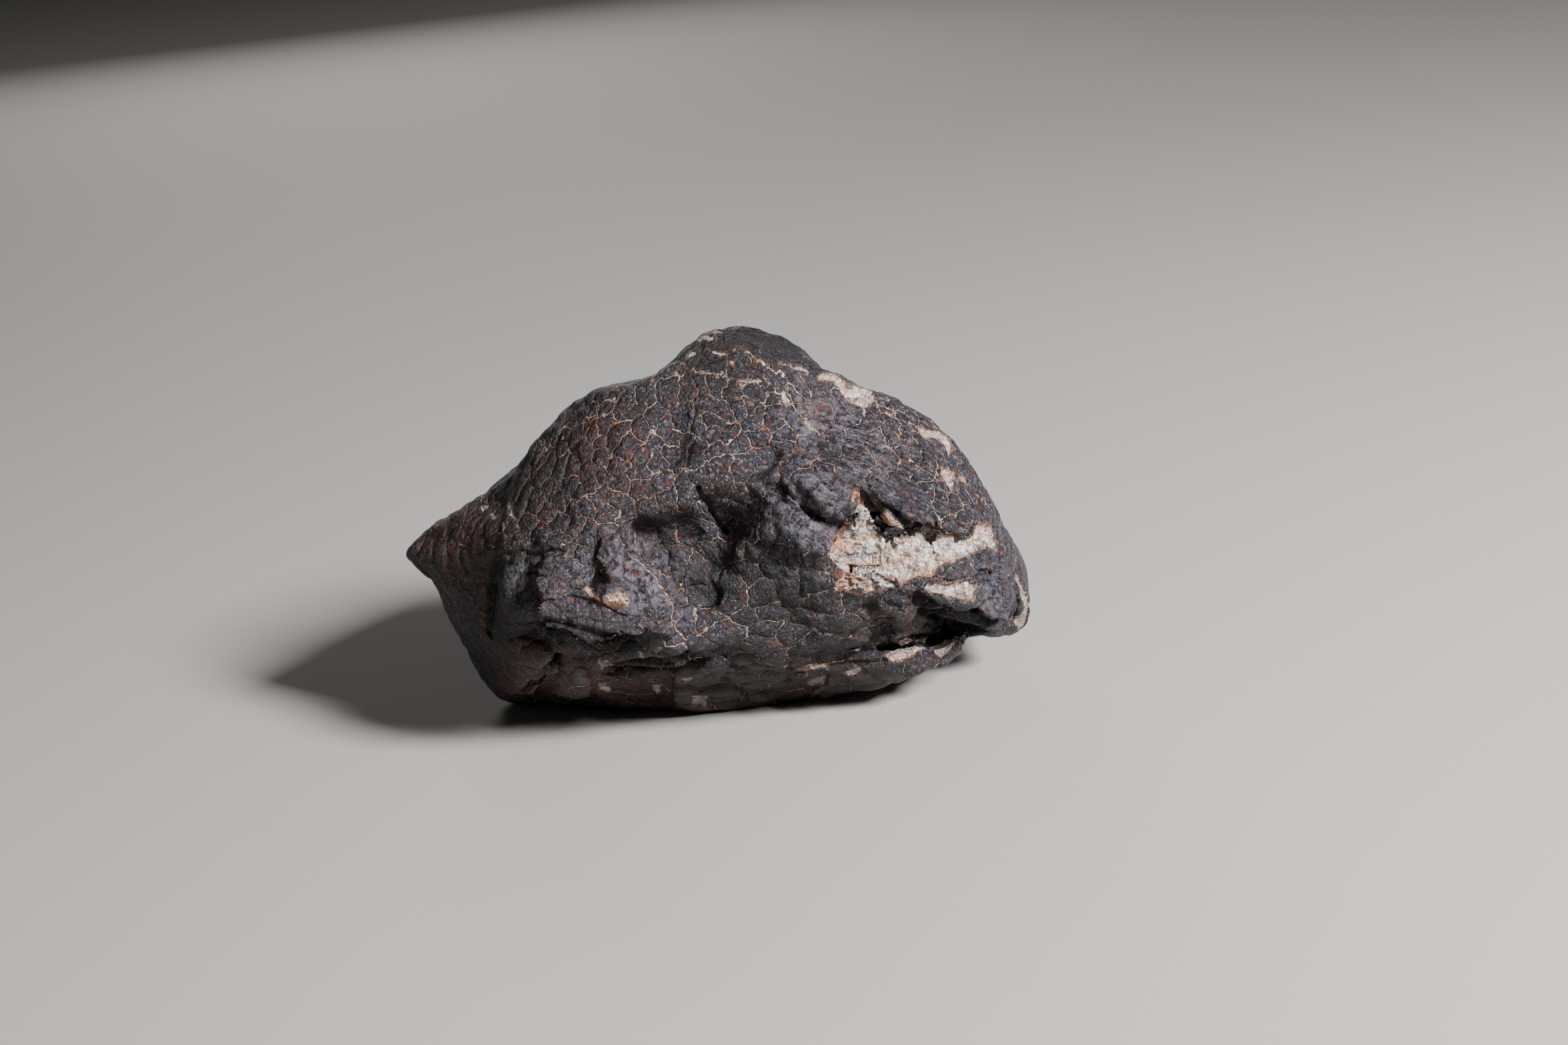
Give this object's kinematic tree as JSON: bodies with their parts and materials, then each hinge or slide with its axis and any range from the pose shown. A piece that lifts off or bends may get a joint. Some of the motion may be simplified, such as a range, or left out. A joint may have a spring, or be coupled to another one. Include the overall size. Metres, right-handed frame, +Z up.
{
  "type": "chondrite meteorite",
  "caption": "Whole chondrite meteorite with crackled dark fusion crust, a broken patch of pale matrix and a small flat place to rest on.",
  "frame": {"origin": "middle of the stone's box in X and Y, on the surface it rests on", "axes": "+X along the stone's length, from its pointed left end to its lobed right end, +Y away from the broken front face, +Z up"},
  "size_m": [0.0716, 0.0447, 0.0445],
  "materials": {
    "fusion_crust": "satin"
  },
  "bodies": {
    "root": {"meteorite": "fusion_crust"}
  },
  "joints": []
}
